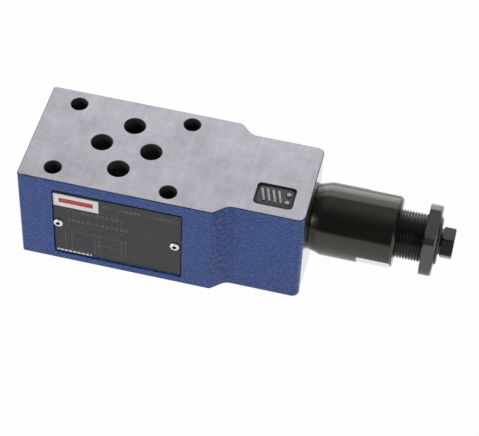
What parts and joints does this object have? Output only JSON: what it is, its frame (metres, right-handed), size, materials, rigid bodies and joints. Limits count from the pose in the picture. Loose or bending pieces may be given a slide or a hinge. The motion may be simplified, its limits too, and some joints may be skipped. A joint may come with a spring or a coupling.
{
  "type": "hydraulic sandwich valve",
  "caption": "Sandwich-plate hydraulic pressure reducing valve: cast body with ground mounting faces, ports and bolt holes, and a screw-in adjuster with hexagon sleeve and lock nut.",
  "frame": {"origin": "middle of the port pattern on the lower mounting face", "axes": "+X along the valve towards the adjuster, +Z from the lower mounting face to the upper one"},
  "size_m": [0.1478, 0.0433, 0.04],
  "materials": {
    "blue_paint": "satin paint over cast iron, ground bare on the upper and lower faces",
    "black_steel": "turned and blackened",
    "dark_steel": "dark phosphated",
    "bright_steel": "turned, bright",
    "plate_grey": "dark printed sheet",
    "brass": "turned",
    "black_rubber": "matt"
  },
  "bodies": {
    "housing": {"housing": "blue_paint", "name_plate": "plate_grey", "name_plate_rivet_left": "bright_steel", "name_plate_rivet_right": "bright_steel", "bonnet": "black_steel", "bonnet_seal_ring": "black_rubber", "gauge_plug": "dark_steel", "gauge_plug_seal": "black_rubber", "port_seal_ring_a": "black_rubber", "port_seal_ring_b": "black_rubber", "port_seal_ring_p": "black_rubber", "port_seal_ring_t": "black_rubber", "control_spring": "bright_steel"},
    "spring_plate": {"spring_plate": "bright_steel"},
    "adjusting_sleeve": {"adjusting_sleeve": "black_steel", "sleeve_seal_ring": "black_rubber", "sleeve_retaining_ring": "bright_steel"},
    "lock_nut": {"lock_nut": "dark_steel"},
    "control_spool": {"control_spool": "bright_steel", "damping_orifice": "brass", "spring_seat": "bright_steel"}
  },
  "joints": [
    {"name": "adjuster_travel", "type": "slide", "parent": "housing", "child": "spring_plate", "axis": [-1, 0, 0], "range_m": [0, 0.006], "deforming": ["control_spring"]},
    {"name": "adjuster_turn", "type": "hinge", "parent": "spring_plate", "child": "adjusting_sleeve", "pos_m": [0.1, 0.0038, 0.02], "axis": [-1, 0, 0], "range_deg": [0, 2160]},
    {"name": "lock_nut_travel", "type": "slide", "parent": "adjusting_sleeve", "child": "lock_nut", "axis": [-1, 0, 0], "range_m": [0, 0.003]},
    {"name": "spool_slide", "type": "slide", "parent": "housing", "child": "control_spool", "axis": [1, 0, 0], "range_m": [0, 0.003], "stiffness_N_per_m": 2000, "springref_m": -0.002}
  ],
  "couplings": [
    {"joint": "adjuster_turn", "follows": "adjuster_travel", "rad_per_m": 6283.2}
  ]
}
